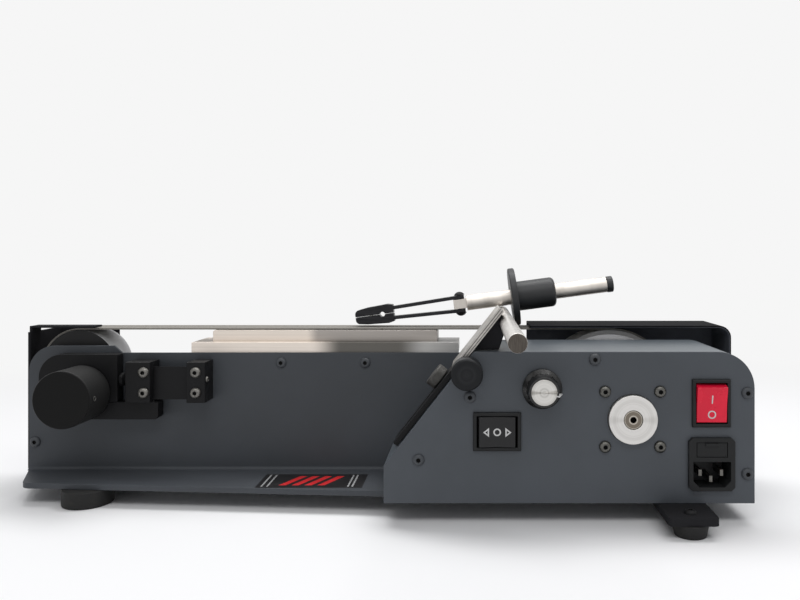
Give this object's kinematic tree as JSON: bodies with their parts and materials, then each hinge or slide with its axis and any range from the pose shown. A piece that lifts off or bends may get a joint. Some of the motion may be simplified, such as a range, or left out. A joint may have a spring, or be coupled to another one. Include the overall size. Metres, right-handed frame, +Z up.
{
  "type": "bench-top knife belt grinder",
  "caption": "Bench-top belt grinder for knives with a flat platen, a hooded driven wheel, a tracking idler and a clamp arm on a guide bar that slides up a slope.",
  "frame": {"origin": "middle of the box round the whole machine, on the bench", "axes": "+X to the operator's right, +Y away from the operator, +Z up"},
  "size_m": [0.529, 0.2214, 0.1657],
  "materials": {
    "case_paint": "fine-textured blue-grey powder coat, half matt",
    "black_paint": "black powder coat, half matt",
    "ground_steel": "ground, with fine marks along the piece",
    "bright_screws": "bright zinc with a dark socket",
    "turned_aluminium": "turned, with fine rings",
    "steel_strip": "blackened steel, satin",
    "black_anodised": "black anodised, satin",
    "black_plastic": "black moulded plastic with fine grain",
    "rocker_black": "black, with plain white arrows and a ring",
    "rocker_red": "red see-through plastic, with a plain white bar and ring",
    "rubber": "black, slightly dusty",
    "abrasive_cloth": "grey abrasive grains on cloth",
    "contact_brass": "plated, bright",
    "circuit_board": "green lacquer with plain parts"
  },
  "bodies": {
    "chassis": {"main_chassis": "case_paint", "belt_pan": "black_paint", "control_box_shell": "case_paint", "front_panel": "case_paint", "wheel_guard": "black_paint", "idler_guard": "black_paint", "platen_base": "ground_steel", "platen": "ground_steel", "abrasive_belt": "abrasive_cloth", "motor_can": "ground_steel", "motor_front_bell": "turned_aluminium", "motor_bearings": "ground_steel", "power_supply": "turned_aluminium", "controller_board": "circuit_board", "potentiometer": "black_plastic", "power_switch_body": "black_plastic", "direction_switch_body": "black_plastic", "inlet_body": "black_plastic", "inlet_pins": "contact_brass", "button_screws": "steel_strip", "foot_bar": "black_paint", "large_feet": "rubber", "small_feet": "rubber", "hinge_block": "steel_strip", "hinge_clamp": "steel_strip", "leaf_spring": "steel_strip"},
    "drive": {"drive_shaft": "ground_steel", "motor_rotor": "ground_steel", "drive_wheel": "turned_aluminium", "wheel_tyre": "rubber"},
    "tracking_arm": {"tracking_arm": "black_paint", "arm_clamp": "steel_strip", "arm_screws": "bright_screws", "tension_springs": "ground_steel"},
    "tension": {"tension_block": "black_paint", "idler_axle": "ground_steel"},
    "idler": {"idler_wheel": "black_anodised", "idler_bearings": "ground_steel"},
    "tracking_knob": {"tracking_knob": "black_anodised"},
    "angle_slide": {"angle_plate": "ground_steel", "rack_tongue": "steel_strip", "bar_bracket": "black_paint"},
    "angle_knob": {"rack_pinion": "ground_steel", "angle_knob": "black_anodised"},
    "lock_knob": {"lock_knob": "black_anodised"},
    "guide_bar": {"guide_bar": "ground_steel"},
    "knife_arm": {"arm_tube": "ground_steel", "tube_cap": "black_plastic", "stop_disc": "black_anodised", "handle_sleeve": "black_plastic"},
    "clamp_head": {"clevis_block": "ground_steel", "strip_screws": "steel_strip", "lower_jaw": "steel_strip"},
    "upper_jaw": {"upper_jaw": "steel_strip"},
    "clamp_screw": {"clamp_screw": "bright_screws"},
    "speed_knob": {"speed_knob": "black_plastic", "speed_knob_cap": "turned_aluminium"},
    "direction_rocker": {"direction_rocker": "rocker_black"},
    "power_rocker": {"power_rocker": "rocker_red"},
    "fuse_drawer": {"fuse_drawer": "black_plastic"}
  },
  "joints": [
    {"name": "drive_spin", "type": "hinge", "parent": "chassis", "child": "drive", "pos_m": [0.1745, 0.07225, 0.0686], "axis": [0, 1, 0], "continuous": true},
    {"name": "tracking_hinge", "type": "hinge", "parent": "chassis", "child": "tracking_arm", "pos_m": [-0.15125, 0.05075, 0.0676], "axis": [0, 0, 1], "range_deg": [-0.25, 0.25], "deforming": ["leaf_spring"]},
    {"name": "tension_slide", "type": "slide", "parent": "tracking_arm", "child": "tension", "axis": [1, 0, 0], "range_m": [0, 0.005], "stiffness_N_per_m": 4000, "springref_m": -0.008, "deforming": ["tension_springs"]},
    {"name": "idler_spin", "type": "hinge", "parent": "tension", "child": "idler", "pos_m": [-0.2305, 0.07225, 0.0901], "axis": [0, 1, 0], "continuous": true},
    {"name": "tracking_knob_turn", "type": "hinge", "parent": "tension", "child": "tracking_knob", "pos_m": [-0.2165, 0.05125, 0.0748], "axis": [0, 1, 0], "range_deg": [-150, 150]},
    {"name": "angle_slide", "type": "slide", "parent": "chassis", "child": "angle_slide", "axis": [0.6191, 0, 0.7853], "range_m": [0, 0.042]},
    {"name": "angle_knob_turn", "type": "hinge", "parent": "chassis", "child": "angle_knob", "pos_m": [0.06625, -0.00875, 0.09958], "axis": [0, 1, 0], "range_deg": [-1, 403]},
    {"name": "lock_knob_turn", "type": "hinge", "parent": "chassis", "child": "lock_knob", "pos_m": [0.05153, 0.01225, 0.08865], "axis": [-0.7853, 0, 0.6191], "range_deg": [0, 180]},
    {"name": "arm_tilt", "type": "hinge", "parent": "angle_slide", "child": "guide_bar", "pos_m": [0.0931, -0.00875, 0.1304], "axis": [0, -1, 0], "range_deg": [0, 12.5]},
    {"name": "arm_sweep", "type": "slide", "parent": "guide_bar", "child": "knife_arm", "axis": [0, 1, 0], "range_m": [-0.054, 0.002]},
    {"name": "head_flip", "type": "hinge", "parent": "knife_arm", "child": "clamp_head", "pos_m": [0.0916, 0.08825, 0.1418], "axis": [0.9914, 0, 0.1305], "range_deg": [0, 180]},
    {"name": "clamp_screw_turn", "type": "hinge", "parent": "upper_jaw", "child": "clamp_screw", "pos_m": [-0.00953, 0.08825, 0.12849], "axis": [-0.1305, 0, 0.9914], "range_deg": [-1, 721]},
    {"name": "jaw_open", "type": "hinge", "parent": "clamp_head", "child": "upper_jaw", "pos_m": [0.05959, 0.08825, 0.14288], "axis": [0, 1, 0], "range_deg": [0, 1.85]},
    {"name": "speed_knob_turn", "type": "hinge", "parent": "chassis", "child": "speed_knob", "pos_m": [0.1153, -0.00875, 0.0887], "axis": [0, 1, 0], "range_deg": [-240, 60]},
    {"name": "direction_rock", "type": "hinge", "parent": "chassis", "child": "direction_rocker", "pos_m": [0.0859, -0.00575, 0.0606], "axis": [0, 0, 1], "range_deg": [-9, 9]},
    {"name": "power_rock", "type": "hinge", "parent": "chassis", "child": "power_rocker", "pos_m": [0.2258, -0.00575, 0.0792], "axis": [1, 0, 0], "range_deg": [-14, 0]},
    {"name": "fuse_pull", "type": "slide", "parent": "chassis", "child": "fuse_drawer", "axis": [0, -1, 0], "range_m": [0, 0.012]}
  ],
  "couplings": [
    {"joint": "idler_spin", "follows": "drive_spin", "ratio": 1.7544},
    {"joint": "tracking_hinge", "follows": "tracking_knob_turn", "ratio": 0.0016667},
    {"joint": "angle_knob_turn", "follows": "angle_slide", "rad_per_m": 166.67},
    {"joint": "arm_tilt", "follows": "angle_slide", "rad_per_m": 5.18},
    {"joint": "clamp_screw_turn", "follows": "jaw_open", "ratio": 389.19}
  ]
}
